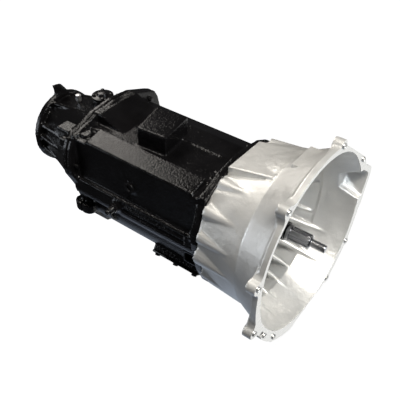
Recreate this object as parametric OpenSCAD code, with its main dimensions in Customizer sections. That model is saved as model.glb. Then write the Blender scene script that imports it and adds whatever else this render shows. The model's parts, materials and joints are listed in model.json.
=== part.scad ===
// Heavy-duty manual transmission: five forward speeds and reverse, single countershaft.
// Frame: +X points forward to the engine, +Z up. The origin is the centre of the bell
// housing's engine face, on the axis of the input shaft. The box's right-hand side is -Y.

/* [Gear train] */
// Distance from the main axis down to the countershaft
centre_distance = 112; // [112:1:112]
// Face width of the gears
gear_w = 26; // [24:1:26]
// Backlash taken off each tooth at its pitch line
backlash = 0.2; // [0.1:0.05:0.3]
// Travel of each shift rail from neutral
shift_travel = 11; // [9:0.5:11]

/* [Bell housing] */
// Length of the bell from its engine face to the case
bell_len = 190; // [185:1:195]
// Radius of the bell's opening
bell_open_r = 206; // [200:1:208]
// Outer radius of the engine flange
bell_flange_r = 230; // [229:1:232]
// Radius of an engine bolt hole
engine_hole_r = 6.5; // [5.5:0.5:7]
// Radius of a dowel hole in the engine flange
engine_dowel_r = 6; // [5:0.1:6]
// Radius of the circle of the two dowels
dowel_circle_r = 220; // [220:0.5:222]

/* [Case] */
// Length of the main case
case_len = 390; // [388:1:392]
// Thickness of the case's side walls
wall = 9; // [8:0.5:10]
// Thickness of the walls that carry bearings
bearing_wall = 24; // [24:0.5:24]

/* [Rear housing] */
// Length of the rear housing, from the case to the tail face
rear_len = 200; // [196:1:204]
// Outer radius of the tail flange
tail_flange_r = 98; // [96:1:100]
// Radius of the circle of tail holes
tail_bolt_circle_r = 86; // [84:1:88]

/* [Shafts] */
// Diameter of the input shaft's pilot
pilot_d = 19; // [19:0.1:19.1]
// Outer diameter of the input shaft's spline
input_spline_d = 34.9; // [34:0.1:36]
// Number of teeth on the input spline
input_spline_n = 10; // [10:1:10]
// Diameter of the output shaft's end
output_d = 38; // [36:1:40]

/* [Hidden] */
$fn = 72;
slip = 0.05;          // running clearance on a radius
case_x = -bell_len;               // joint of the bell and the case
rear_x = case_x - case_len;       // joint of the case and the rear housing
tail_x = rear_x - rear_len;       // tail face

// ---- gear train ----
pressure_angle = 25;
mod_main = 4;
mod_fifth = centre_distance * 2 / 60;
counter_at = [centre_distance, 0];
idler_lift = 93.7;                // idler axis: this far below the main axis
idler_side = -sqrt(centre_distance * centre_distance - idler_lift * idler_lift);
idler_at = [idler_lift, idler_side];
// x of each gear's front face
head_x = -222;
third_x = -302;
second_x = -330;
first_x = -410;
fifth_x = -440;
reverse_x = -520;
// x of the front face of each clutch hub
hub_34_x = -262;
hub_12_x = -370;
hub_5r_x = -480;
// dog teeth
dog_n = 50;
dog_root_r = 43.2;
dog_tip_r = 46;
dog_w = 6;
cone_r = 35;
ring_w = 4;
hub_w = 26;
sleeve_r = 58;
groove_r = 52;
groove_w = 10;
shaft_r = 20;
bush_r = 23;
counter_r = 24;
counter_neck_r = 19;
nose_r = 12;                      // main shaft's nose, inside the input shaft
nose_bore_r = 17;

// ---- bearings ----
race_r = 50;
race_in_r = 25;
ball_r = 6.5;
ball_circle_r = 36;
ball_n = 14;
cup_r = 31;
cup_in_r = 27;
roller_r = 3.3;
roller_circle_r = 23.65;
roller_n = 14;
counter_end_r = 17;
counter_race_w = 20;
blind = 4;                        // metal left in front of a blind bore

// ---- shift rails ----
rail_r = 8;
rail_z = 98;
rail_pitch = 34;
rail_front_x = -208;
rail_rear_x = -596;

// ---- castings ----
// [y, z] of the engine bolts' lugs
lugs_at = [[60, 222], [-143, 190], [-228, 62], [-228, -68], [-143, -166], [104, -193], [184, -129]];
dowel_angles = [122, -58];        // from +Z toward -Y, opposite each other
bell_bolts_at = [[60, 122], [126, 84], [143, 6], [127, -70], [88, -146]];
rear_bolts_at = [[40, 128], [124, 96], [148, 40], [124, -40], [96, -110], [52, -176]];
tail_hole_n = 6;
tail_hole_r = 5.5;

// half outline of the bell's rear face and the case's front flange, seen along X
flange_half = [
    [0, 150], [20, 150], [76, 142], [113, 124], [144, 98], [163, 48], [166, 10], [158, -40],
    [145, -90], [125, -135], [95, -175], [50, -200], [0, -207]
];
// half outline of the flange between the case and the rear housing
arch_half = [
    [0, 147], [65, 140], [126, 117], [146, 108], [157, 88], [167, 40], [164, 18], [142, -30],
    [126, -90], [108, -140], [70, -190], [30, -205], [0, -207]
];
// half outline of the rear housing where it leaves that flange
rear_half = [
    [0, 118], [60, 114], [106, 88], [126, 32], [126, -40], [108, -94], [70, -142], [30, -156], [0, -158]
];

function mirrored(half) =
    concat([for (p = half) [-p[0], p[1]]], [for (i = [len(half) - 2:-1:1]) half[i]]);

// The outline of a gear in its own plane, with the middle of a tooth on the first axis.
function involute_deg(r, base) = r <= base ? 0 : sqrt(r * r / (base * base) - 1) * 180 / PI - acos(base / r);
function flank(r, z, m, thin) =
    let (pitch = z * m / 2, base = pitch * cos(pressure_angle),
         half = 90 / z - thin / pitch * 90 / PI)
    half + involute_deg(pitch, base) - involute_deg(r, base);
function gear_points(z, m, add = 0.8, ded = 1.1, thin = backlash, steps = 4) =
    let (pitch = z * m / 2, root = pitch - ded * m, tip = pitch + add * m,
         base = pitch * cos(pressure_angle), start = max(root, base))
    [for (i = [0:z - 1], side = [-1, 1], k = [0:steps + 1])
        let (step = side < 0 ? k : steps + 1 - k,
             r = step == 0 ? root : start + (tip - start) * (step - 1) / steps,
             a = i * 360 / z + side * flank(max(r, start), z, m, thin))
        [r * cos(a), r * sin(a)]];
// Turn of gear B so that it meshes with gear A, whose tooth stands at phase_a,
// where the line from A to B stands at angle beta.
function mesh_phase(beta, phase_a, z_a, z_b) =
    beta + 180 - (0.5 - (beta - phase_a) * z_a / 360) * 360 / z_b;

// From a plane drawing to the world: the first axis goes to -Z, the second to +Y, the height to +X.
module along_x(x0, x1, at = [0, 0]) {
    translate([x0, at[1], -at[0]]) rotate([0, 90, 0]) linear_extrude(x1 - x0) children();
}
module gear(z, m, front, w = gear_w, at = [0, 0], phase = 0) {
    along_x(front - w, front, at) rotate(phase) polygon(gear_points(z, m));
}
module rod(r, x0, x1, at = [0, 0]) {
    translate([min(x0, x1), at[1], -at[0]]) rotate([0, 90, 0]) cylinder(r = r, h = abs(x1 - x0));
}
module ring(r, r_in, x0, x1, at = [0, 0]) {
    difference() {
        rod(r, x0, x1, at);
        rod(r_in, min(x0, x1) - 1, max(x0, x1) + 1, at);
    }
}
// a cone whose radius is ra at xa and rb at xb, with xa below xb
module cone(ra, rb, xa, xb, at = [0, 0]) {
    translate([xa, at[1], -at[0]]) rotate([0, 90, 0]) cylinder(r1 = ra, r2 = rb, h = xb - xa);
}
// an outline given as [y, z] points, extruded along X
module slab(points, x0, x1) {
    along_x(x0, x1) polygon([for (p = points) [-p[1], p[0]]]);
}
// an outline given as [x, z] points, extruded across from y0 to y1
module side_prism(points, y0, y1) {
    translate([0, y1, 0]) rotate([90, 0, 0]) linear_extrude(y1 - y0) polygon(points);
}
// straight-sided teeth on a circle, the first one centred on the first axis
module teeth(n, r0, r1, width_deg, x0, x1) {
    along_x(x0, x1) for (i = [0:n - 1]) rotate(i * 360 / n)
        polygon([r0 * [cos(width_deg / 2), sin(width_deg / 2)], r1 * [cos(width_deg / 2), sin(width_deg / 2)],
                 r1 * [cos(width_deg / 2), -sin(width_deg / 2)], r0 * [cos(width_deg / 2), -sin(width_deg / 2)]]);
}
// polar place on a flange: angle from +Z toward -Y
function polar(angle, r) = [-r * sin(angle), r * cos(angle)];
// hexagon bolt along X: the head's seat is at x, the shank goes toward -X
module bolt(x, at, d, grip, across, head_h) {
    translate([x, at[0], at[1]]) {
        rotate([0, -90, 0]) cylinder(r = d / 2, h = grip);
        rotate([0, 90, 0]) cylinder(r = across / sqrt(3), h = head_h, $fn = 6);
        rotate([0, 90, 0]) cylinder(r = across / 2 + 1.5, h = 1.6);
    }
}
module both_sides(points) {
    for (p = points, s = [-1, 1]) translate([0, s * p[0], p[1]]) children();
}

// ---- dog clutches ----
// Dog teeth and synchroniser cone on one face of a gear; dir is +1 on its front, -1 on its rear.
module dog_face(face_x, dir) {
    gap = 2;
    x1 = face_x + dir * (gap + dog_w);
    rod(dog_root_r - 0.6, face_x, x1);
    teeth(dog_n, dog_root_r - 2, dog_tip_r, 3.2, min(face_x + dir * gap, x1), max(face_x + dir * gap, x1));
    if (dir > 0) cone(cone_r, cone_r - 0.8, x1, x1 + 5);
    else cone(cone_r - 0.8, cone_r, x1 - 5, x1);
}
module synchro_ring(x, dir) {
    x1 = x + dir * ring_w;
    difference() {
        rod(dog_root_r, x, x1);
        rod(cone_r + 0.4, min(x, x1) - 1, max(x, x1) + 1);
        for (a = [0:120:240]) rotate([a, 0, 0])
            translate([min(x, x1) - 1, -5, cone_r + 4]) cube([ring_w + 2, 10, 10]);
    }
}
module hub(x) {
    color("#8f9296") difference() {
        union() {
            rod(dog_root_r - 0.6, x - hub_w, x);
            teeth(dog_n, dog_root_r - 2, dog_tip_r - 0.2, 3.2, x - hub_w, x);
        }
        rod(shaft_r, x - hub_w - 1, x + 1);
        for (s = [0, 1]) ring(36, 27, x + 1 - s * (hub_w - 6), x - 7 - s * (hub_w - 6));
    }
}
module sleeve(x) {
    color("#a4a7ab") {
        difference() {
            rod(sleeve_r, x - hub_w, x);
            rod(dog_tip_r + 0.4, x - hub_w - 1, x + 1);
            ring(sleeve_r + 1, groove_r, x - hub_w / 2 - groove_w / 2, x - hub_w / 2 + groove_w / 2);
        }
        along_x(x - hub_w, x) for (i = [0:dog_n - 1]) rotate((i + 0.5) * 360 / dog_n)
            translate([dog_root_r + 0.4, -1.2]) square([dog_tip_r - dog_root_r + 1, 2.4]);
    }
}
// a gear that turns freely on its bush
module free_gear(z, m, front, dog_side, phase = 0) {
    color("#9b9ea3") difference() {
        union() {
            gear(z, m, front, phase = phase);
            if (dog_side > 0) dog_face(front, 1);
            else dog_face(front - gear_w, -1);
        }
        rod(bush_r + slip, front - gear_w - 20, front + 20);
    }
}

// ---- gears and shafts ----
module third_gear() { free_gear(28, mod_main, third_x, 1); }
module second_gear() { free_gear(35, mod_main, second_x, -1); }
module first_gear() { free_gear(42, mod_main, first_x, 1); }
module fifth_gear() { free_gear(20, mod_fifth, fifth_x, -1); }
// the reverse train meshes through the idler, so each gear's turn follows from the one before
function angle_to(a, b) = atan2(b[1] - a[1], b[0] - a[0]);
counter_reverse_z = 12;
idler_z = 20;
reverse_z = 36;
counter_reverse_phase = angle_to(counter_at, idler_at) + 180 / counter_reverse_z;
idler_phase = mesh_phase(angle_to(counter_at, idler_at), counter_reverse_phase, counter_reverse_z, idler_z);
reverse_phase = mesh_phase(angle_to(idler_at, [0, 0]), idler_phase, idler_z, reverse_z);
module reverse_gear() { free_gear(reverse_z, mod_main, reverse_x, 1, reverse_phase); }
module reverse_idler_gear() {
    color("#9b9ea3") difference() {
        gear(idler_z, mod_main, reverse_x, at = idler_at, phase = idler_phase);
        rod(18, reverse_x - gear_w - 1, reverse_x + 1, idler_at);
    }
}
module idler_bush() {
    color("#b08d57") ring(18, 14 + slip, reverse_x - gear_w + 1, reverse_x - 1, idler_at);
}
module reverse_idler_shaft() {
    color("#8a8d91") {
        rod(14, reverse_x + 10, rear_x - 18, idler_at);
        ring(20, 14, reverse_x - gear_w - 4, rear_x, idler_at);
        ring(20, 14, reverse_x + 4, reverse_x + 10, idler_at);
    }
}
// middle of the gap of a counter gear faces the main axis
function counter_phase(z) = 180 + 180 / z;
module counter_gear(z, m, front) {
    gear(z, m, front, at = counter_at, phase = counter_phase(z));
}
module keyed_counter_gear(z, m, front) {
    color("#94979c") difference() {
        counter_gear(z, m, front);
        rod(counter_r, front - gear_w - 1, front + 1, counter_at);
        for (a = [0:60:300]) translate([0, 0, -centre_distance]) rotate([a, 0, 0])
            translate([0, 0, centre_distance]) rod(6, front - gear_w - 1, front + 1, [centre_distance - z * m / 4 - 8, 0]);
    }
}
module counter_drive_gear() { keyed_counter_gear(35, mod_main, head_x); }
module counter_third_gear() { keyed_counter_gear(28, mod_main, third_x); }
module counter_fifth_gear() { keyed_counter_gear(40, mod_fifth, fifth_x); }
module countershaft() {
    color("#8d9095") {
        rod(counter_end_r, case_x - blind - 1, rear_x - counter_race_w + 1, counter_at);
        rod(counter_r, case_x - bearing_wall - 3, reverse_x + 3, counter_at);
        rod(counter_r, reverse_x - gear_w - 4, rear_x + 3, counter_at);
        counter_gear(21, mod_main, second_x);
        counter_gear(14, mod_main, first_x);
        gear(counter_reverse_z, mod_main, reverse_x, at = counter_at, phase = counter_reverse_phase);
        // the shaft stays below the roots of its reverse gear
        rod(counter_neck_r, reverse_x - gear_w - 5, reverse_x + 4, counter_at);
    }
}
module input_shaft() {
    color("#b9bcc0") difference() {
        union() {
            cone(pilot_d / 2, pilot_d / 2 - 1.5, 23.5, 25);
            rod(pilot_d / 2, -12, 23.5);
            rod(input_spline_d / 2 - 2.6, -59, -11);
            cone(input_spline_d / 2 - 2.6, pilot_d / 2, -11, -8);
            teeth(input_spline_n, 10, input_spline_d / 2, 20, -57, -12);
            rod(18.5, -66, -58);
            rod(15, case_x + 4, -66);
            rod(race_in_r - 3, case_x - 2, case_x + 4);
            rod(race_in_r, case_x - bearing_wall, case_x);
            rod(32, head_x, case_x - bearing_wall);
            gear(21, mod_main, head_x);
            dog_face(head_x - gear_w, -1);
        }
        rod(nose_bore_r, -262, -230);
    }
}
module pilot_rollers() {
    color("#c9ccd0") for (i = [0:9]) rotate([i * 36, 0, 0]) rod(2.4, -258, -234, [14.5, 0]);
}
module main_shaft() {
    color("#a9acb1") {
        rod(nose_r, hub_34_x, -232);
        rod(shaft_r, rear_x, hub_34_x);
        rod(28, rear_x, reverse_x - gear_w - 2);
        rod(race_in_r, rear_x - bearing_wall, rear_x);
        rod(22, rear_x - bearing_wall - 60, rear_x - bearing_wall);
        rod(output_d / 2 - 2, tail_x + 4, rear_x - bearing_wall - 60);
        cone(output_d / 2 - 4, output_d / 2 - 2, tail_x + 2, tail_x + 4);
        teeth(24, 12, output_d / 2, 7, tail_x + 5, tail_x + 30);
    }
}
module hub_34() { hub(hub_34_x); }
module hub_12() { hub(hub_12_x); }
module hub_5r() { hub(hub_5r_x); }
module sleeve_34() { sleeve(hub_34_x); }
module sleeve_12() { sleeve(hub_12_x); }
module sleeve_5r() { sleeve(hub_5r_x); }
module synchro_rings() {
    color("#b5964f") for (x = [hub_34_x, hub_12_x, hub_5r_x]) {
        synchro_ring(x + 1, 1);
        synchro_ring(x - hub_w - 1, -1);
    }
}
module gear_bushes() {
    color("#b08d57") for (x = [third_x, second_x, first_x, fifth_x, reverse_x])
        ring(bush_r, shaft_r, x - gear_w + 0.5, x - 0.5);
}

// ---- bearings and seals ----
module ball_groove(x, w) {
    translate([x - w / 2, 0, 0]) rotate([0, 90, 0]) rotate_extrude() translate([ball_circle_r, 0]) circle(r = ball_r + slip);
}
module outer_race(x) {
    difference() {
        ring(race_r, ball_circle_r + 3, x - bearing_wall, x);
        ball_groove(x, bearing_wall);
    }
}
module inner_race(x) {
    difference() {
        ring(ball_circle_r - 3, race_in_r, x - bearing_wall, x);
        ball_groove(x, bearing_wall);
    }
}
module main_bearing_outer_races() {
    color("#c4c7cb") {
        outer_race(case_x);
        outer_race(rear_x);
    }
}
module main_bearing_balls() {
    color("#d8dadd") for (x = [case_x, rear_x], i = [0:ball_n - 1])
        rotate([i * 360 / ball_n, 0, 0]) translate([x - bearing_wall / 2, 0, ball_circle_r]) sphere(r = ball_r - slip);
}
module input_inner_race() { color("#c4c7cb") inner_race(case_x); }
module main_inner_race() { color("#c4c7cb") inner_race(rear_x); }
// front faces of the countershaft's two bearings
counter_races_x = [case_x - blind, rear_x];
module counter_bearing_cups() {
    color("#c4c7cb") for (x = counter_races_x) ring(cup_r, cup_in_r, x - counter_race_w, x, counter_at);
}
module counter_bearing_rollers() {
    color("#d8dadd") for (x = counter_races_x, i = [0:roller_n - 1])
        translate([0, 0, -centre_distance]) rotate([i * 360 / roller_n, 0, 0])
            rod(roller_r, x - counter_race_w + 3, x - 3, [roller_circle_r, 0]);
}
module counter_bearing_cones() {
    color("#c4c7cb") for (x = counter_races_x)
        ring(roller_circle_r - roller_r - slip, counter_end_r, x - counter_race_w + 1.5, x - 1.5, counter_at);
}
module input_seal() { color("#2c2c2e") ring(20, 15 + slip, case_x + 16, case_x + 26); }
seal_x = tail_x + 40;
module output_seal() { color("#2c2c2e") ring(34, output_d / 2 - 2 + slip, seal_x, seal_x + 12); }
module tail_bush() { color("#b08d57") ring(22, output_d / 2 - 2 + slip, seal_x + 14, seal_x + 50); }

// ---- shift rails and forks ----
module rail(side) {
    color("#b4b7bb") difference() {
        rod(rail_r, rail_rear_x, rail_front_x, [-rail_z, side * rail_pitch]);
        // detent notches on top
        for (i = [-1:1]) translate([detent_x + i * shift_travel, side * rail_pitch - 10, rail_z + rail_r - 1])
            rotate([0, 45, 0]) cube([2, 20, 2]);
    }
}
module fork(side, hub_x) {
    x = hub_x - hub_w / 2;
    thick = groove_w - 0.6;
    y = side * rail_pitch;
    color("#8e9196") difference() {
        union() {
            intersection() {
                ring(groove_r + 14, groove_r + 0.5, x - thick / 2, x + thick / 2);
                translate([x - 20, -80, -8]) cube([40, 160, 90]);
            }
            translate([x - thick / 2, y - 9, groove_r + (side == 0 ? 4 : -6)])
                cube([thick, 18, rail_z - groove_r - (side == 0 ? 4 : -6)]);
            rod(11.5, x - 14, x + 14, [-rail_z, y]);
        }
        rod(rail_r, x - 15, x + 15, [-rail_z, y]);
        rod(groove_r + 0.5, x - 16, x + 16);
    }
}
module rail_12() { rail(-1); }
module rail_34() { rail(0); }
module rail_5r() { rail(1); }
module fork_12() { fork(-1, hub_12_x); }
module fork_34() { fork(0, hub_34_x); }
module fork_5r() { fork(1, hub_5r_x); }

// ---- castings ----
ridge_x = -82;                    // ridge where the bell's cone meets its skirt
ridge_r = 186;
bell_wall = 8;
lip_w = 12;                       // thickness of the bell's rear wall
lip_r = 78;                       // opening in that wall, around the bearing retainer
flange_w = 14;
lug_r = 14;
lug_w = 22;
rim_shift = [-14, -10];           // the skirt swells up and to the right toward the engine face
// pocket for the starter's pinion, [y, z] outlines of its lobe, its outside at the back, mouth and floor
pocket_lobe = [[150, 100], [205, 92], [254, 58], [256, 36], [232, -44], [190, -70]];
pocket_back = [[150, 72], [200, 68], [231, 50], [232, 30], [210, 4], [150, 2]];
pocket_mouth = [[150, 88], [203, 80], [240, 50], [241, 38], [222, -10], [193, -8], [150, 0]];
pocket_floor = [[150, 60], [196, 58], [222, 44], [222, 34], [204, 16], [150, 14]];
pocket_depth = 46;
pocket_wall = 8;
lug_web = 40;                     // half width of a lug's root on the rim
// half-cone bulges over the bell bolts: angle from +Z toward -Y, radius and height of the axis at the case
bulges = [
    [34, 18, 155], [56, 20, 163], [76, 20, 160], [95, 30, 152], [119, 20, 159],
    [-38, 18, 157], [-95, 24, 156], [-119, 20, 159]
];
function scaled(points, k) = [for (p = points) p * k];
function angle_of(p) = atan2(-p[0], p[1]);
module bulge(angle, r, r0) {
    x0 = case_x + 6;
    len = ridge_x - x0;
    rotate([angle, 0, 0]) translate([x0, 0, r0]) rotate([0, 90 - atan2(ridge_r - 3 - r0, len), 0])
        cylinder(r1 = r, r2 = 2, h = len);
}
module engine_flange() {
    difference() {
        rod(bell_flange_r, -flange_w, 0);
        // the plate is cut back on the far upper side and at the bottom
        for (cut = [[-39, 216], [-172, 211]]) rotate([cut[0], 0, 0])
            translate([-flange_w - 1, -120, cut[1]]) cube([flange_w + 2, 240, 60]);
    }
    slab(pocket_lobe, -flange_w, 0);
}
// an engine bolt's lug, with a root that spreads along the rim
module lug(p) {
    rod(lug_r, -lug_w, 0, [-p[1], p[0]]);
    rotate([angle_of(p), 0, 0]) slab([
        [-lug_web, bell_open_r + 10], [1 - lug_r, norm(p)], [lug_r - 1, norm(p)], [lug_web, bell_open_r + 10]
    ], 2 - lug_w, 0);
}
module bell_housing() {
    color("#c9cac8") difference() {
        union() {
            hull() {
                slab(mirrored(flange_half), case_x, case_x + 4);
                rod(ridge_r, ridge_x - 4, ridge_x, $fn = 96);
            }
            hull() {
                rod(ridge_r - 4, ridge_x - 6, ridge_x - 5, $fn = 96);
                rod(bell_open_r + 6, -12, -10, $fn = 96);
                rod(bell_open_r + 5, -12, -10, rim_shift, $fn = 96);
            }
            engine_flange();
            for (p = lugs_at) lug(p);
            // raised flat pad on top of the cone
            side_prism([[case_x + 1, 120], [case_x + 1, 158], [ridge_x - 2, 180], [ridge_x - 2, 120]], -62, 54);
            for (b = bulges) bulge(b[0], b[1], b[2]);
            hull() {
                slab(pocket_back, -pocket_depth - pocket_wall, 2 - pocket_depth - pocket_wall);
                slab(pocket_lobe, 1 - flange_w, 2 - flange_w);
            }
        }
        // the cavity: cone, skirt and the opening in the rear wall
        hull() {
            slab(scaled(mirrored(flange_half), 0.93), case_x + lip_w, case_x + lip_w + 2);
            rod(ridge_r - bell_wall, ridge_x - 4, ridge_x, $fn = 96);
        }
        hull() {
            rod(ridge_r - bell_wall - 1.5, ridge_x - 0.5, ridge_x, $fn = 96);
            rod(bell_open_r, 0, 1, $fn = 96);
            rod(bell_open_r, 0, 1, rim_shift, $fn = 96);
        }
        rod(lip_r, case_x - 1, case_x + lip_w + 1);
        // starter pocket, open to the bell and to the engine face
        hull() {
            slab(pocket_floor, -pocket_depth, 1 - pocket_depth);
            slab(pocket_mouth, 0, 1);
        }
        // locating notches near the lower right lugs
        rod(9, -lug_w - 4, 1, [102, -200]);
        translate([-9, -214, -12]) cube([10, 12, 9]);
        for (p = lugs_at) rod(engine_hole_r, -lug_w - 20, 1, [-p[1], p[0]]);
        for (a = dowel_angles) let (p = polar(a, dowel_circle_r))
            rod(engine_dowel_r, -flange_w - 20, 1, [-p[1], p[0]]);
        both_sides(bell_bolts_at) rod(5.2, case_x - 1, case_x + lip_w + 1);
    }
}
module bell_bolts() {
    color("#7d8084") both_sides(bell_bolts_at) bolt(case_x + lip_w, [0, 0], 10, 30, 15, 7);
}
// cross-section of the case between its end flanges, seen along X
case_section = [
    [62, 118], [-88, 118], [-91, 130], [-140, 119], [-140, 8], [-150, 4], [-152, -28],
    [-150, -40], [-108, -84], [-95, -112], [95, -112], [108, -84],
    [150, -40], [150, 4], [140, 10], [138, 70], [104, 104]
];
cavity_section = [
    [54, 110], [-86, 110], [-131, 100], [-131, 0], [-136, -30], [-98, -80], [-86, -112], [86, -112],
    [98, -80], [136, -30], [131, 0], [129, 66], [98, 95]
];
// outline of the raised box on top of the case, [x, y]
boss_outline = [[-430, -74], [-453, 22], [-367, 30], [-352, -68]];
boss_top = 165;
plug_at = [-398, 52];             // fill plug, [x, z] on the right-hand wall
plug_y = -142;
switch_at = [-440, -17];          // reversing light switch, [x, z] on the same wall
switch_y = -156;
drain_x = -500;
drain_z = -210;
detent_x = -218;
foot_x = -564;                    // holes of the crossmember feet
foot_y = 124;
foot_z = -116;                    // underside of the feet
foot_h = 28;
thread_d8_r = 4.05;               // tapped holes for the small bolts
thread_d10_r = 5.05;              // and for the large ones
module rail_bores(x0, x1) {
    for (side = [-1:1]) rod(rail_r + slip, x0, x1, [-rail_z, side * rail_pitch]);
}
// half of a foot's plan, from the joint outward along +X
foot_plan = [[0, 92], [26, 92], [30, 128], [24, 138], [14, 142], [0, 142]];
module feet(x, dir) {
    for (s = [-1, 1]) translate([x, 0, foot_z]) linear_extrude(foot_h)
        polygon([for (p = foot_plan) [dir * p[0], s * p[1]]]);
}
// the covers close two ports beside the countershaft, facing outward and well down
cover_tilt = 55;
cover_x = -385;
cover_len = 140;
cover_w = 92;
cover_r = 101;                    // distance of the ports' faces from the countershaft
module at_cover(side) {
    translate([cover_x, 0, -centre_distance]) mirror([0, side > 0 ? 1 : 0, 0])
        rotate([cover_tilt, 0, 0]) rotate([90, 0, 0]) children();
}
cover_bolts_at = [for (x = [12, cover_len / 2, cover_len - 12], y = [-1, 1]) [x, y * (cover_w / 2 - 11)]];
module cover_plate() {
    translate([0, -cover_w / 2, 0]) cube([cover_len, cover_w, cover_r]);
}
retainer_bolt_circle_r = 58;
module main_case() {
    color("#17181a") difference() {
        union() {
            difference() {
                slab(case_section, rear_x, case_x);
                // shelves at both ends of the shoulder, and grooves between the side ledges
                translate([-566, -150, 113]) cube([34, 62, 30]);
                translate([-224, -150, 113]) cube([15, 62, 30]);
                for (z = [-8, -22]) translate([-422, -160, z]) cube([186, 14, 7]);
            }
            rod(95, rear_x, case_x, counter_at);
            cone(95, 102, case_x - 130, case_x, counter_at);
            slab(mirrored(flange_half), case_x - 20, case_x);
            slab(mirrored(arch_half), rear_x, rear_x + 12);
            // hump that climbs to the rear flange, and a rib along the roof
            side_prism([[-470, 112], [-556, 144], [rear_x, 144], [rear_x, 112]], -62, 66);
            translate([-362, 3, 110]) cube([116, 6, 11]);
            translate([0, 0, 110]) linear_extrude(boss_top - 110) polygon(boss_outline);
            rod(56, rear_x, reverse_x + 16, idler_at);
            for (side = [-1, 1]) at_cover(side) cover_plate();
            // bosses behind the bell bolts, at the shelf and for the plug and the switch
            both_sides(bell_bolts_at) rod(12, case_x - 34, case_x);
            translate([-554, -112, 90]) cylinder(r = 15, h = 31);
            translate([plug_at[0], plug_y, plug_at[1]]) rotate([-90, 0, 0]) cylinder(r = 16, h = 16);
            translate([switch_at[0], switch_y, switch_at[1]]) rotate([-90, 0, 0]) cylinder(r = 14, h = 16);
            // framed pocket beside the front flange
            translate([-252, -138, -92]) cube([40, 40, 34]);
            feet(rear_x, 1);
        }
        difference() {
            union() {
                slab(cavity_section, rear_x - 1, case_x - bearing_wall);
                rod(87, rear_x - 1, case_x - bearing_wall, counter_at);
                rod(47.5, rear_x - 1, reverse_x + 8, idler_at);
                translate([-422, -58, 100]) cube([48, 74, boss_top - 108]);
            }
            // inner boss that carries the front ends of the shift rails
            translate([case_x - bearing_wall - 12, -48, 87]) cube([13, 96, 24]);
        }
        rod(race_r, case_x - bearing_wall - 1, case_x + 1);
        rod(cup_r, case_x - bearing_wall - 1, case_x - blind, counter_at);
        rail_bores(case_x - bearing_wall - 13, case_x - 6);
        for (side = [-1, 1]) at_cover(side) {
            translate([22, -cover_w / 2 + 22, 70]) cube([cover_len - 44, cover_w - 44, 60]);
            for (p = cover_bolts_at) translate([p[0], p[1], cover_r - 11]) cylinder(r = thread_d8_r, h = 20);
        }
        both_sides(bell_bolts_at) rod(thread_d10_r, case_x - 20, case_x + 1);
        both_sides(rear_bolts_at) rod(thread_d10_r, rear_x - 1, rear_x + 22);
        for (i = [0:5]) rotate([30 + i * 60, 0, 0])
            rod(thread_d8_r, case_x - 17, case_x + 1, [retainer_bolt_circle_r, 0]);
        translate([plug_at[0], plug_y - 1, plug_at[1]]) rotate([-90, 0, 0]) cylinder(r = 9.05, h = 26);
        translate([switch_at[0], switch_y - 1, switch_at[1]]) rotate([-90, 0, 0]) cylinder(r = 8.05, h = 18);
        translate([drain_x, 0, drain_z - 12]) cylinder(r = 9.05, h = 40);
        for (side = [-1:1]) translate([detent_x, side * rail_pitch, rail_z]) cylinder(r = thread_d10_r, h = 60);
        translate([-247, -140, -87]) cube([30, 18, 24]);
        for (s = [-1, 1]) translate([foot_x, s * foot_y, foot_z - 1]) cylinder(r = 6, h = foot_h + 2);
        both_sides([[110, 60]]) rod(4, case_x - 14, case_x + 1);
    }
}
port_at = [-622, 12];             // shift port on the roof of the rear housing, [x, y]
port_r = 27;
port_z = 134;
port_bolt_r = 21.5;
breather_x = -700;
gallery_x = rear_x - bearing_wall - 12;
module rear_housing() {
    color("#17181a") difference() {
        union() {
            slab(mirrored(arch_half), rear_x - 14, rear_x);
            hull() {
                slab(mirrored(rear_half), rear_x - 34, rear_x - 14);
                rod(82, tail_x + 16, tail_x + 22, $fn = 48);
            }
            rod(tail_flange_r, tail_x, tail_x + 16);
            // fin on top of the tail flange
            slab([[-12, 84], [-15, 125], [8, 121], [17, 109], [34, 84]], tail_x, tail_x + 10);
            translate([port_at[0], port_at[1], 70]) cylinder(r = port_r, h = port_z - 70);
            // boss beside the arch flange on the right-hand side
            translate([-634, -134, 60]) cube([40, 36, 58]);
            feet(rear_x, -1);
            for (a = [20, 62, 82, 105, -75, -105, -20]) rotate([a, 0, 0])
                side_prism([[rear_x - 14, 60], [rear_x - 14, 126], [tail_x + 15, 93], [tail_x + 15, 60]], -5, 5);
        }
        rod(race_r, rear_x - bearing_wall, rear_x + 1);
        rod(cup_r, rear_x - counter_race_w, rear_x + 1, counter_at);
        rod(14, rear_x - 18, rear_x + 1, idler_at);
        rail_bores(-612, rear_x + 1);
        // gallery behind the bearing wall, and the bores at the tail
        cone(62, 78, tail_x + 100, gallery_x);
        rod(40, gallery_x - 1, rear_x - bearing_wall + 1);
        translate([port_at[0], port_at[1], 0]) cylinder(r = 16, h = port_z + 1);
        rod(22, seal_x + 12, tail_x + 101);
        rod(34, seal_x, seal_x + 12);
        rod(62, tail_x - 1, seal_x);
        for (i = [0:tail_hole_n - 1]) rotate([30 + i * 60, 0, 0])
            rod(tail_hole_r, tail_x - 1, tail_x + 30, [tail_bolt_circle_r, 0]);
        both_sides(rear_bolts_at) rod(5.2, rear_x - 40, rear_x + 1);
        both_sides(rear_bolts_at) rod(12, rear_x - 60, rear_x - 14);
        at_port_bolts(port_z - 18) cylinder(r = 2.55, h = 20);
        translate([breather_x, 0, 60]) cylinder(r = 5.05, h = 60);
    }
}
module at_port_bolts(z) {
    for (a = [45:90:315]) translate([port_at[0], port_at[1], z]) rotate([0, 0, a])
        translate([port_bolt_r, 0, 0]) children();
}
module rear_housing_bolts() {
    color("#1c1d1f") both_sides(rear_bolts_at)
        mirror([1, 0, 0]) bolt(-rear_x + 14, [0, 0], 10, 34, 16, 8);
}
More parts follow.
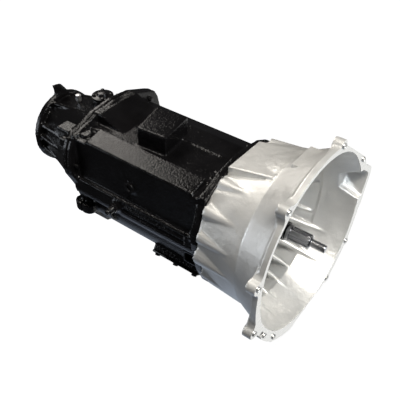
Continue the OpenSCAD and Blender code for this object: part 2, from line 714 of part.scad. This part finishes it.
module bearing_retainer() {
    color("#202124") difference() {
        union() {
            rod(66, case_x, case_x + 10);
            cone(34, 24, case_x + 10, case_x + 34);
            rod(22, case_x + 30, -70);
        }
        rod(20, case_x + 16, case_x + 26);
        rod(34, case_x - 1, case_x + 8);
        rod(17, case_x, -69);
        for (i = [0:5]) rotate([30 + i * 60, 0, 0]) rod(4.2, case_x - 1, case_x + 11, [retainer_bolt_circle_r, 0]);
    }
}
module retainer_bolts() {
    color("#8a8d91") for (i = [0:5]) rotate([30 + i * 60, 0, 0])
        translate([0, 0, -retainer_bolt_circle_r]) bolt(case_x + 10, [0, 0], 8, 26, 13, 6);
}
module cover(side) {
    color("#1b1d20") at_cover(side) difference() {
        translate([0, -cover_w / 2, cover_r]) cube([cover_len, cover_w, 6]);
        for (p = cover_bolts_at) translate([p[0], p[1], cover_r - 1]) cylinder(r = 4.2, h = 20);
    }
}
module cover_bolts(side) {
    color("#33363a") at_cover(side) for (p = cover_bolts_at) translate([p[0], p[1], cover_r + 6])
        rotate([0, -90, 0]) bolt(0, [0, 0], 8, 16, 13, 6);
}
module side_cover() { cover(-1); }
module side_cover_bolts() { cover_bolts(-1); }
module far_cover() { cover(1); }
module far_cover_bolts() { cover_bolts(1); }
module fill_plug() {
    color("#2a2c2f") translate([plug_at[0], plug_y, plug_at[1]]) rotate([-90, 0, 0]) {
        cylinder(r = 9, h = 12);
        mirror([0, 0, 1]) difference() {
            cylinder(r = 13, h = 4);
            translate([0, 0, 1]) cylinder(r = 8, h = 4, $fn = 6);
        }
    }
}
module drain_plug() {
    color("#2a2c2f") translate([drain_x, 0, drain_z + 3]) {
        cylinder(r = 9, h = 8);
        mirror([0, 0, 1]) cylinder(r = 12, h = 5, $fn = 6);
    }
}
module breather() {
    color("#6d7074") translate([breather_x, 0, 84]) {
        cylinder(r = 5, h = 20);
        translate([0, 0, 18]) cylinder(r = 8, h = 6, $fn = 6);
        translate([0, 0, 24]) cylinder(r = 7, h = 10);
    }
}
module backup_light_switch() {
    color("#3a3d41") translate([switch_at[0], switch_y, switch_at[1]]) rotate([90, 0, 0]) {
        translate([0, 0, -14]) cylinder(r = 8, h = 15);
        cylinder(r = 12.5, h = 8, $fn = 6);
        translate([0, 0, 7]) cylinder(r = 8.5, h = 14);
        translate([0, 0, 20]) cylinder(r = 5.5, h = 8);
    }
}
module detent_plugs() {
    color("#3a3d41") for (side = [-1:1]) translate([detent_x, side * rail_pitch, rail_z + 12]) cylinder(r = 5, h = 14);
}
module dowel_pins() {
    color("#b4b7bb") both_sides([[110, 60]]) rod(4, case_x - 14, case_x);
}
module shift_port_cap() {
    color("#1d1e20") translate([port_at[0], port_at[1], port_z]) difference() {
        union() {
            cylinder(r = port_r, h = 5);
            cylinder(r1 = 16, r2 = 11, h = 12);
        }
        for (a = [45:90:315]) rotate([0, 0, a]) translate([port_bolt_r, 0, -1]) cylinder(r = 2.7, h = 20);
    }
}
module shift_port_bolts() {
    color("#33363a") at_port_bolts(port_z + 5) {
        mirror([0, 0, 1]) cylinder(r = 2.5, h = 19);
        cylinder(r = 4.8, h = 4, $fn = 6);
    }
}

bell_housing();
main_case();
rear_housing();
bearing_retainer();
retainer_bolts();
bell_bolts();
rear_housing_bolts();
side_cover();
side_cover_bolts();
far_cover();
far_cover_bolts();
fill_plug();
drain_plug();
breather();
backup_light_switch();
detent_plugs();
dowel_pins();
shift_port_cap();
shift_port_bolts();
main_bearing_outer_races();
main_bearing_balls();
counter_bearing_cups();
counter_bearing_rollers();
input_seal();
output_seal();
tail_bush();
reverse_idler_shaft();
input_shaft();
input_inner_race();
pilot_rollers();
countershaft();
counter_drive_gear();
counter_third_gear();
counter_fifth_gear();
counter_bearing_cones();
main_shaft();
main_inner_race();
gear_bushes();
synchro_rings();
hub_34();
hub_12();
hub_5r();
sleeve_34();
sleeve_12();
sleeve_5r();
first_gear();
second_gear();
third_gear();
fifth_gear();
reverse_gear();
reverse_idler_gear();
idler_bush();
rail_12();
rail_34();
rail_5r();
fork_12();
fork_34();
fork_5r();
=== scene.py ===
"""Looks of the manual transmission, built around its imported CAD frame."""
import json
import math

import bmesh
import bpy
from mathutils import Matrix, Vector


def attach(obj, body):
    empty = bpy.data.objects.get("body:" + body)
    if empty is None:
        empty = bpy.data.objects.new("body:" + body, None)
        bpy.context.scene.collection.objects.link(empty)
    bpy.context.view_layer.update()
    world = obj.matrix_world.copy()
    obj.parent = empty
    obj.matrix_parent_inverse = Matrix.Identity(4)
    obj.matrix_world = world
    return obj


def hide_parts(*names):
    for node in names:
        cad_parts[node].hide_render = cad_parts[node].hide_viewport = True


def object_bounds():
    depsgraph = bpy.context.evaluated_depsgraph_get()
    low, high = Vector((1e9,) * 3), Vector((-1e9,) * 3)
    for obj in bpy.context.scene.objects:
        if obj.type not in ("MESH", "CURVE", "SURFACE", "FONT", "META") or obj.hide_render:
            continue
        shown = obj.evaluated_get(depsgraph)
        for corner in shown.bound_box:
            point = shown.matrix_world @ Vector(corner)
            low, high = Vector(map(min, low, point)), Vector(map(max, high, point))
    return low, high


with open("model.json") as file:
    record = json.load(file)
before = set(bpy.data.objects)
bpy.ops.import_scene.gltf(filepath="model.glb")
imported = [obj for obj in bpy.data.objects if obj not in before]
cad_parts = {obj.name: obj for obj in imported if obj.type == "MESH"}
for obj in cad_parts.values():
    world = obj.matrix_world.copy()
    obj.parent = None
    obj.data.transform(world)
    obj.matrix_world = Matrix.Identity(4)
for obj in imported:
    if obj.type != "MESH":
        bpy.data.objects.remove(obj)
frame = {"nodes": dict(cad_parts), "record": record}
cad_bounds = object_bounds()
nodes = frame["nodes"]
record = frame["record"]
SLOT_OF = {part["node"]: part["material_slot"] for part in record["subparts"]}
BODY_OF = {node: body for body, members in record["behaviour"]["bodies"].items() for node in members}
MM = 0.001
scene = bpy.context.scene


# ---------------------------------------------------------------- camera, light and floor
VIEW_AZIMUTH = math.radians(37.4)
VIEW_ELEVATION = math.radians(40.1)
VIEW_DISTANCE = 1.418
LENS = 54.0
SENSOR = 36.0
FAR_CLIP = 20.0
LOOK_AT = Vector((-0.300, 0.0, 0.0))
LOOK_OFFSET = Vector((-0.0074, -0.0217))    # camera moved right and up in its own plane


def camera_axes():
    sin_a, cos_a = math.sin(VIEW_AZIMUTH), math.cos(VIEW_AZIMUTH)
    sin_e, cos_e = math.sin(VIEW_ELEVATION), math.cos(VIEW_ELEVATION)
    right = Vector((cos_a, sin_a, 0.0))
    up = Vector((-sin_a * sin_e, cos_a * sin_e, cos_e))
    back = Vector((sin_a * cos_e, -cos_a * cos_e, sin_e))
    return right, up, back


def add_camera():
    right, up, back = camera_axes()
    data = bpy.data.cameras.new("camera")
    data.lens = LENS
    data.sensor_width = SENSOR
    data.clip_end = FAR_CLIP
    camera = bpy.data.objects.new("camera", data)
    place = LOOK_AT + right * LOOK_OFFSET.x + up * LOOK_OFFSET.y + back * VIEW_DISTANCE
    turn = Matrix((right, up, back)).transposed().to_4x4()
    camera.matrix_world = Matrix.Translation(place) @ turn
    scene.collection.objects.link(camera)
    scene.camera = camera


def add_area(name, place, size, power, color=(1, 1, 1), along=(1, 0, 0)):
    """A softbox that faces the object, with its long side along the given direction."""
    data = bpy.data.lights.new(name, "AREA")
    data.shape = "RECTANGLE"
    data.size, data.size_y = size
    data.energy = power
    data.color = color
    light = bpy.data.objects.new(name, data)
    back = (Vector(place) - LOOK_AT).normalized()
    side = (Vector(along) - back * back.dot(Vector(along))).normalized()
    turn = Matrix((side, back.cross(side), back)).transposed().to_4x4()
    light.matrix_world = Matrix.Translation(place) @ turn
    scene.collection.objects.link(light)


# radius and height of the floor, which curves up into a backdrop all round, in metres
STAGE_PROFILE = [(2.8, 0), (3.6, 0.1), (4.3, 0.45), (4.8, 1.1), (5.0, 2.0), (5.0, 8.0)]
STAGE_SIDES = 64


def add_stage():
    z = cad_bounds[0][2] - 0.002
    around = [2 * math.pi * i / STAGE_SIDES for i in range(STAGE_SIDES)]
    corners = [(r * math.cos(a), r * math.sin(a), z + h) for r, h in STAGE_PROFILE for a in around]
    faces = [tuple(range(STAGE_SIDES))]
    for ring in range(len(STAGE_PROFILE) - 1):
        for i in range(STAGE_SIDES):
            low, after = ring * STAGE_SIDES + i, ring * STAGE_SIDES + (i + 1) % STAGE_SIDES
            faces.append((low, after, after + STAGE_SIDES, low + STAGE_SIDES))
    mesh = bpy.data.meshes.new("floor")
    mesh.from_pydata(corners, [], faces)
    mesh.shade_smooth()
    floor = bpy.data.objects.new("floor", mesh)
    scene.collection.objects.link(floor)
    material = bpy.data.materials.new("floor")
    material.use_nodes = True
    shader = material.node_tree.nodes["Principled BSDF"]
    shader.inputs["Base Color"].default_value = (0.86, 0.86, 0.86, 1)
    shader.inputs["Roughness"].default_value = 1.0
    shader.inputs["Specular IOR Level"].default_value = 0.0
    shader.inputs["Emission Color"].default_value = (1, 1, 1, 1)
    shader.inputs["Emission Strength"].default_value = FLOOR_GLOW
    mesh.materials.append(material)
    # only a backdrop: the light from below comes from the world's glows
    floor.visible_glossy = floor.visible_diffuse = floor.visible_shadow = False


FLOOR_GLOW = 1.0
SKY = (0.042, 0.042, 0.044)
GROUND_GLOW = (0.48, 0.55, 0.67)            # cool light that undersides mirror, straight below
FACE_GLOW = (1.0, 1.0, 0.98)               # warm light that the engine face mirrors, low behind the object
FACE_GLOW_FROM = (0.27, 0.66, -0.70)


def add_glow(tree, under, direction, toward, start, full, color):
    """Blends a colour over the world around one direction, from the start to the full cosine."""
    closeness = tree.nodes.new("ShaderNodeVectorMath")
    closeness.operation = "DOT_PRODUCT"
    closeness.inputs[1].default_value = Vector(toward).normalized()
    tree.links.new(direction, closeness.inputs[0])
    blend = tree.nodes.new("ShaderNodeMapRange")
    blend.interpolation_type = "SMOOTHSTEP"
    blend.inputs["From Min"].default_value = start
    blend.inputs["From Max"].default_value = full
    tree.links.new(closeness.outputs["Value"], blend.inputs["Value"])
    mix = tree.nodes.new("ShaderNodeMix")
    mix.data_type = "RGBA"
    tree.links.new(under, mix.inputs["A"])
    mix.inputs["B"].default_value = (*color, 1)
    tree.links.new(blend.outputs["Result"], mix.inputs["Factor"])
    return mix.outputs["Result"]


def add_world():
    world = bpy.data.worlds.new("world")
    scene.world = world
    world.use_nodes = True
    tree = world.node_tree
    direction = tree.nodes.new("ShaderNodeTexCoord").outputs["Generated"]
    sky = tree.nodes.new("ShaderNodeRGB").outputs["Color"]
    sky.default_value = (*SKY, 1)
    low = add_glow(tree, sky, direction, (0, 0, -1), 0.66, 0.95, GROUND_GLOW)
    both = add_glow(tree, low, direction, FACE_GLOW_FROM, 0.72, 0.93, FACE_GLOW)
    tree.links.new(both, tree.nodes["Background"].inputs["Color"])


add_camera()
add_stage()
add_world()
add_area("key", (0.7, -0.35, 2.1), (0.9, 0.9), 60, color=(1, 0.955, 0.88))
add_area("strip", (-1.65, 0.3, 1.5), (1.8, 0.5), 18, color=(1, 0.955, 0.89), along=(-0.62, 0.78, 0))
add_area("front", (1.5, 0.1, 0.9), (0.9, 0.9), 20, color=(0.88, 0.94, 1))
add_area("left", (-2.2, -1.3, 0.1), (1.2, 0.8), 12, color=(0.86, 0.92, 1))
scene.view_settings.view_transform = "Standard"


# ---------------------------------------------------------------- materials
class Paint:
    """A Principled material whose sockets are fed by noise in the part's own coordinates."""

    def __init__(self, name, color, rough, metallic=0.0, specular=0.5):
        self.material = bpy.data.materials.new(name)
        self.material.use_nodes = True
        self.tree = self.material.node_tree
        self.shader = self.tree.nodes["Principled BSDF"]
        self.place = self.tree.nodes.new("ShaderNodeTexCoord").outputs["Object"]
        self.normal = None
        self.color = color
        self.shader.inputs["Base Color"].default_value = (*color, 1)
        self.shader.inputs["Roughness"].default_value = rough
        self.shader.inputs["Metallic"].default_value = metallic
        self.shader.inputs["Specular IOR Level"].default_value = specular

    def stretched(self, scale):
        node = self.tree.nodes.new("ShaderNodeMapping")
        node.inputs["Scale"].default_value = scale
        self.tree.links.new(self.place, node.inputs["Vector"])
        return node.outputs["Vector"]

    def noise(self, scale, detail=3.0, stretch=None):
        """Noise whose cells are scale to the metre."""
        node = self.tree.nodes.new("ShaderNodeTexNoise")
        node.inputs["Scale"].default_value = scale
        node.inputs["Detail"].default_value = detail
        self.tree.links.new(self.stretched(stretch) if stretch else self.place, node.inputs["Vector"])
        return node.outputs["Fac"]

    def spread(self, source, low, high, out_low, out_high):
        """Maps source from low..high to out_low..out_high."""
        node = self.tree.nodes.new("ShaderNodeMapRange")
        node.inputs["From Min"].default_value = low
        node.inputs["From Max"].default_value = high
        node.inputs["To Min"].default_value = out_low
        node.inputs["To Max"].default_value = out_high
        self.tree.links.new(source, node.inputs["Value"])
        return node.outputs["Result"]

    def tint(self, source, dark, light):
        """Feeds the base colour: dark where source is 0, light where it is 1."""
        node = self.tree.nodes.new("ShaderNodeMix")
        node.data_type = "RGBA"
        node.inputs["A"].default_value = (*[c * dark for c in self.color], 1)
        node.inputs["B"].default_value = (*[min(1.0, c * light) for c in self.color], 1)
        self.tree.links.new(source, node.inputs["Factor"])
        self.tree.links.new(node.outputs["Result"], self.shader.inputs["Base Color"])

    def rough(self, source):
        self.tree.links.new(source, self.shader.inputs["Roughness"])

    def bump(self, source, height, strength=1.0):
        """Adds relief of the given height in millimetres."""
        node = self.tree.nodes.new("ShaderNodeBump")
        node.inputs["Distance"].default_value = height * MM
        node.inputs["Strength"].default_value = strength
        self.tree.links.new(source, node.inputs["Height"])
        if self.normal:
            self.tree.links.new(self.normal, node.inputs["Normal"])
        self.normal = node.outputs["Normal"]
        self.tree.links.new(self.normal, self.shader.inputs["Normal"])


def cast_aluminium():
    paint = Paint("cast_aluminium", (0.68, 0.675, 0.655), 0.42, metallic=0.6)
    blotches = paint.noise(14, 4)
    paint.tint(paint.spread(blotches, 0.3, 0.7, 0, 1), 0.9, 1.08)
    paint.rough(paint.spread(paint.noise(30, 3), 0.3, 0.7, 0.36, 0.5))
    paint.bump(paint.noise(45, 3), 1.6, 0.8)
    paint.bump(paint.noise(500, 3), 0.35, 0.8)
    return paint.material


def machined_aluminium():
    paint = Paint("machined_aluminium", (0.78, 0.78, 0.77), 0.24, metallic=0.9)
    marks = paint.noise(300, 2, stretch=(1, 0.04, 1))
    paint.tint(paint.spread(marks, 0.3, 0.7, 0, 1), 0.93, 1.04)
    paint.rough(paint.spread(marks, 0.3, 0.7, 0.18, 0.32))
    paint.bump(marks, 0.02, 0.5)
    return paint.material


def black_paint(name, lift=1.0, grain=1.0):
    """Gloss black over a sand-cast or machined skin."""
    paint = Paint(name, (0.0035 * lift, 0.0033 * lift, 0.0036 * lift), 0.2, specular=0.25)
    paint.tint(paint.spread(paint.noise(20, 3), 0.3, 0.7, 0, 1), 0.7, 1.5)
    paint.rough(paint.spread(paint.noise(45, 3), 0.3, 0.7, 0.1, 0.2))
    paint.bump(paint.noise(60, 2), 0.45 * grain, 0.6)
    paint.bump(paint.noise(280, 1), 0.8 * grain)
    return paint.material


def bare_metal(name, color, rough, streak=(1, 12, 12)):
    """Turned or plated metal with faint marks along one direction."""
    paint = Paint(name, color, rough, metallic=1.0)
    marks = paint.noise(120, 3, stretch=streak)
    paint.tint(paint.spread(marks, 0.3, 0.7, 0, 1), 0.86, 1.08)
    paint.rough(paint.spread(marks, 0.3, 0.7, rough * 0.75, rough * 1.3))
    paint.bump(marks, 0.02, 0.4)
    return paint.material


def rubber(name):
    paint = Paint(name, (0.02, 0.02, 0.021), 0.6)
    paint.tint(paint.noise(150, 3), 0.7, 1.3)
    paint.bump(paint.noise(900, 2), 0.05, 0.4)
    return paint.material


FINISHES = {
    "cast_aluminium": cast_aluminium(),
    "black_case": black_paint("black_case"),
    "black_cover": black_paint("black_cover", lift=1.2, grain=0.6),
    "black_bolts": black_paint("black_bolts", lift=1.5, grain=0.3),
    "zinc_bolts": bare_metal("zinc_bolts", (0.50, 0.50, 0.51), 0.32, (6, 6, 6)),
    "machined_steel": bare_metal("machined_steel", (0.46, 0.46, 0.47), 0.2, (40, 1, 1)),
    "bright_steel": bare_metal("bright_steel", (0.66, 0.66, 0.67), 0.14, (40, 1, 1)),
    "gear_steel": bare_metal("gear_steel", (0.40, 0.40, 0.41), 0.28, (20, 3, 3)),
    "fork_steel": bare_metal("fork_steel", (0.25, 0.25, 0.26), 0.5, (3, 3, 3)),
    "bronze": bare_metal("bronze", (0.55, 0.36, 0.15), 0.3, (30, 2, 2)),
    "seal_rubber": rubber("seal_rubber"),
}
MACHINED_ALUMINIUM = machined_aluminium()
for node_name, node_object in nodes.items():
    node_object.data.materials.clear()
    node_object.data.materials.append(FINISHES[SLOT_OF[node_name]])


# ---------------------------------------------------------------- shapes, in millimetres
def polar(angle, radius):
    """[y, z] of a place around the main axis. The angle runs from +Z toward -Y."""
    turn = math.radians(angle)
    return -radius * math.sin(turn), radius * math.cos(turn)


def add_hull(mesh, points):
    """Adds the convex hull of the points as a closed shell of its own."""
    corners = [mesh.verts.new(Vector(point) * MM) for point in points]
    made = bmesh.ops.convex_hull(mesh, input=corners, use_existing_faces=False)
    loose = set(made["geom_interior"]) | set(made["geom_unused"])
    inner = [v for v in loose if isinstance(v, bmesh.types.BMVert)]
    bmesh.ops.delete(mesh, geom=inner, context="VERTS")


def circle(centre, axis, radius, steps):
    """Points on a circle around the given axis."""
    turn = Vector(axis).to_track_quat("Z", "Y")
    angles = [2 * math.pi * i / steps for i in range(steps)]
    return [Vector(centre) + turn @ Vector((radius * math.cos(a), radius * math.sin(a), 0)) for a in angles]


def add_taper(mesh, start, end, r_start, r_end, steps=28):
    """A rod between two points whose radius changes from r_start to r_end."""
    axis = Vector(end) - Vector(start)
    add_hull(mesh, circle(start, axis, r_start, steps) + circle(end, axis, r_end, steps))


def add_rod(mesh, at, radius, x0, x1, steps=40):
    """A rod along X around [y, z]."""
    add_taper(mesh, (x0, *at), (x1, *at), radius, radius, steps)


def add_block(mesh, low, high):
    sides = list(zip(low, high))
    add_hull(mesh, [(x, y, z) for x in sides[0] for y in sides[1] for z in sides[2]])


def cad_copy(node):
    """A welded copy of a CAD node's mesh."""
    mesh = bmesh.new()
    mesh.from_mesh(nodes[node].data)
    bmesh.ops.remove_doubles(mesh, verts=mesh.verts, dist=1e-6)
    return mesh


# ---------------------------------------------------------------- pieces
def as_object(name, mesh):
    data = bpy.data.meshes.new(name)
    mesh.to_mesh(data)
    mesh.free()
    piece = bpy.data.objects.new(name, data)
    scene.collection.objects.link(piece)
    return piece


def bake_modifiers(piece):
    depsgraph = bpy.context.evaluated_depsgraph_get()
    data = bpy.data.meshes.new_from_object(piece.evaluated_get(depsgraph))
    piece.modifiers.clear()
    piece.data = data


def carve(piece, cutter, operation="DIFFERENCE"):
    """Cuts with a closed mesh, then throws the cutter away."""
    step = piece.modifiers.new("carve", "BOOLEAN")
    step.operation = operation
    step.solver = "MANIFOLD"
    step.object = cutter
    bake_modifiers(piece)
    bpy.data.objects.remove(cutter)


def remesh(piece, voxel):
    step = piece.modifiers.new("remesh", "REMESH")
    step.mode = "VOXEL"
    step.voxel_size = voxel * MM
    bake_modifiers(piece)


CREASE = math.radians(38)                   # edges sharper than this stay sharp in the shading
CAST_VOXEL = 2.4
CAST_KEEP = 0.38                            # share of a casting's triangles that stays
BEVEL_FROM = math.radians(40)
BEVEL_SEGMENTS = 2
REACH = 300                                 # beyond every casting's side


def stand_for(piece, node):
    """Gives a piece its shading and body, and hides the CAD node that it stands for."""
    piece.data.shade_smooth()
    piece.data.set_sharp_from_angle(angle=CREASE)
    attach(piece, BODY_OF[node])
    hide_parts(node)


def add_slice(mesh, x0, x1):
    """A block across the whole part between two places on X."""
    add_block(mesh, (x0, -REACH, -REACH), (x1, REACH, REACH))


def cast(node, blank, machining, skin, rounds=7, crisp=()):
    """A sand casting: one skin over all shells of the blank, rounded edges, then crisp details and cuts."""
    piece = as_object(node + "_casting", blank)
    piece.data.materials.clear()
    remesh(piece, CAST_VOXEL)
    smooth = piece.modifiers.new("smooth", "SMOOTH")
    smooth.factor = 0.5
    smooth.iterations = rounds
    thin = piece.modifiers.new("thin", "DECIMATE")
    thin.ratio = CAST_KEEP
    bake_modifiers(piece)
    piece.data.materials.append(skin)
    piece.data.materials.append(MACHINED_ALUMINIUM)
    for mesh, operation in crisp:
        detail = as_object("detail", mesh)
        detail.data.materials.append(skin)
        carve(piece, detail, operation)
    cutter = as_object("machining", machining)
    cutter.data.materials.append(skin)
    cutter.data.materials.append(MACHINED_ALUMINIUM)
    cutter.data.polygons.foreach_set("material_index", [1] * len(cutter.data.polygons))
    carve(piece, cutter)
    stand_for(piece, node)


# ---------------------------------------------------------------- bell housing
RIDGE_X = -82
PAD_REAR_X, PAD_FRONT_X = -189, RIDGE_X - 2
PAD_NEAR_Y, PAD_FAR_Y = -62, 54
SPARE = 3.5                                 # metal left on the engine face for the machining
LUGS = [(60, 222), (-143, 190), (-228, 62), (-228, -68), (-143, -166), (104, -193), (184, -129)]
LUG_HOLE_R = 6.5
DOWELS = [polar(angle, 220) for angle in (122, -58)]
DOWEL_R = 6
# angle around the axis and x of the tip of each rib inside the bell
INNER_RIBS = [(-60, -96), (-84, -90), (-112, -92), (-124, -45), (-145, -30), (-161, -74), (-176, -58),
              (167, -58), (152, -28), (128, -60), (100, -80), (60, -80), (30, -90)]


def inner_radius(x):
    """Radius of the bell's inner wall."""
    if x < RIDGE_X:
        return 150 + (x + 178) / 96 * 27
    return 177 + (x - RIDGE_X) / -RIDGE_X * 29


def bell_housing():
    blank = cad_copy("bell_housing")
    for at in LUGS:
        add_rod(blank, at, LUG_HOLE_R + 1, -21, -0.5)
    for at in DOWELS:
        add_rod(blank, at, DOWEL_R + 1, -13, -0.5)
    for angle, tip in INNER_RIBS:
        root = (-180, *polar(angle, inner_radius(-180) - 4))
        add_taper(blank, root, (tip, *polar(angle, inner_radius(tip) + 1)), 15, 2)
    # spare metal in front of the engine face, which the machining takes off
    front = as_object("front", cad_copy("bell_housing"))
    window = bmesh.new()
    add_slice(window, -5, 1)
    carve(front, as_object("window", window), "INTERSECT")
    front.data.transform(Matrix.Translation((SPARE * MM, 0, 0)))
    blank.from_mesh(front.data)
    bpy.data.objects.remove(front)
    machining = bmesh.new()
    add_slice(machining, 0, 40)
    for at in LUGS:
        add_rod(machining, at, LUG_HOLE_R, -40, 20)
    for at in DOWELS:
        add_rod(machining, at, DOWEL_R, -30, 20)
    # crisp sand-cast details: the top pad, the land on the skirt behind the top lug,
    # and the foot of the pad's side
    pad = bmesh.new()
    add_hull(pad, [(PAD_REAR_X, PAD_NEAR_Y, 136), (PAD_FRONT_X, PAD_NEAR_Y, 169),
                   (PAD_REAR_X, PAD_FAR_Y, 140), (PAD_FRONT_X, PAD_FAR_Y, 171),
                   (PAD_REAR_X, PAD_NEAR_Y, 157.8), (PAD_FRONT_X, PAD_NEAR_Y, 178),
                   (PAD_REAR_X, PAD_FAR_Y, 157.8), (PAD_FRONT_X, PAD_FAR_Y, 179.5)])
    land = bmesh.new()
    outline = ((-64, 184), (-64, 203), (-16, 201), (-16, 204))
    add_hull(land, [(x, y, z) for y in (-29, 46) for x, z in outline])
    foot = bmesh.new()
    add_hull(foot, [(-192, -62.3, 137), (-192, -62.3, 180), (-192, -120, 190), (-192, -90, 148),
                    (-98, -62.3, 169), (-98, -62.3, 190), (-98, -120, 200), (-98, -90, 170)])
    cast("bell_housing", blank, machining, FINISHES["cast_aluminium"], rounds=5,
         crisp=((pad, "UNION"), (land, "UNION"), (foot, "DIFFERENCE")))


# ---------------------------------------------------------------- main case and rear housing
CASE_FRONT_X, CASE_REAR_X = -190, -580
FACING = 10


def main_case():
    machining = bmesh.new()
    add_slice(machining, CASE_FRONT_X, CASE_FRONT_X + FACING)
    add_slice(machining, CASE_REAR_X - FACING, CASE_REAR_X)
    cast("main_case", cad_copy("main_case"), machining, FINISHES["black_case"])


def rear_housing():
    machining = bmesh.new()
    add_slice(machining, CASE_REAR_X, CASE_REAR_X + FACING)
    cast("rear_housing", cad_copy("rear_housing"), machining, FINISHES["black_case"])


# ---------------------------------------------------------------- small pieces
# width of the broken edge on each piece that shows, in millimetres
EDGES = {
    "bearing_retainer": 0.8, "retainer_bolts": 0.5, "bell_bolts": 0.6, "rear_housing_bolts": 0.6,
    "side_cover": 1.2, "far_cover": 1.2, "side_cover_bolts": 0.5, "far_cover_bolts": 0.5,
    "fill_plug": 0.7, "drain_plug": 0.7, "breather": 0.5, "backup_light_switch": 0.6,
    "shift_port_cap": 0.8, "shift_port_bolts": 0.4, "input_shaft": 0.4, "main_shaft": 0.4,
    "output_seal": 0.8,
}


def finished(node, width):
    """The CAD shape with its edges broken by a small bevel."""
    piece = as_object(node + "_finished", cad_copy(node))
    bevel = piece.modifiers.new("bevel", "BEVEL")
    bevel.width = width * MM
    bevel.segments = BEVEL_SEGMENTS
    bevel.limit_method = "ANGLE"
    bevel.angle_limit = BEVEL_FROM
    bake_modifiers(piece)
    piece.data.materials.clear()
    piece.data.materials.append(FINISHES[SLOT_OF[node]])
    stand_for(piece, node)


bell_housing()
main_case()
rear_housing()
for node_name, edge in EDGES.items():
    finished(node_name, edge)
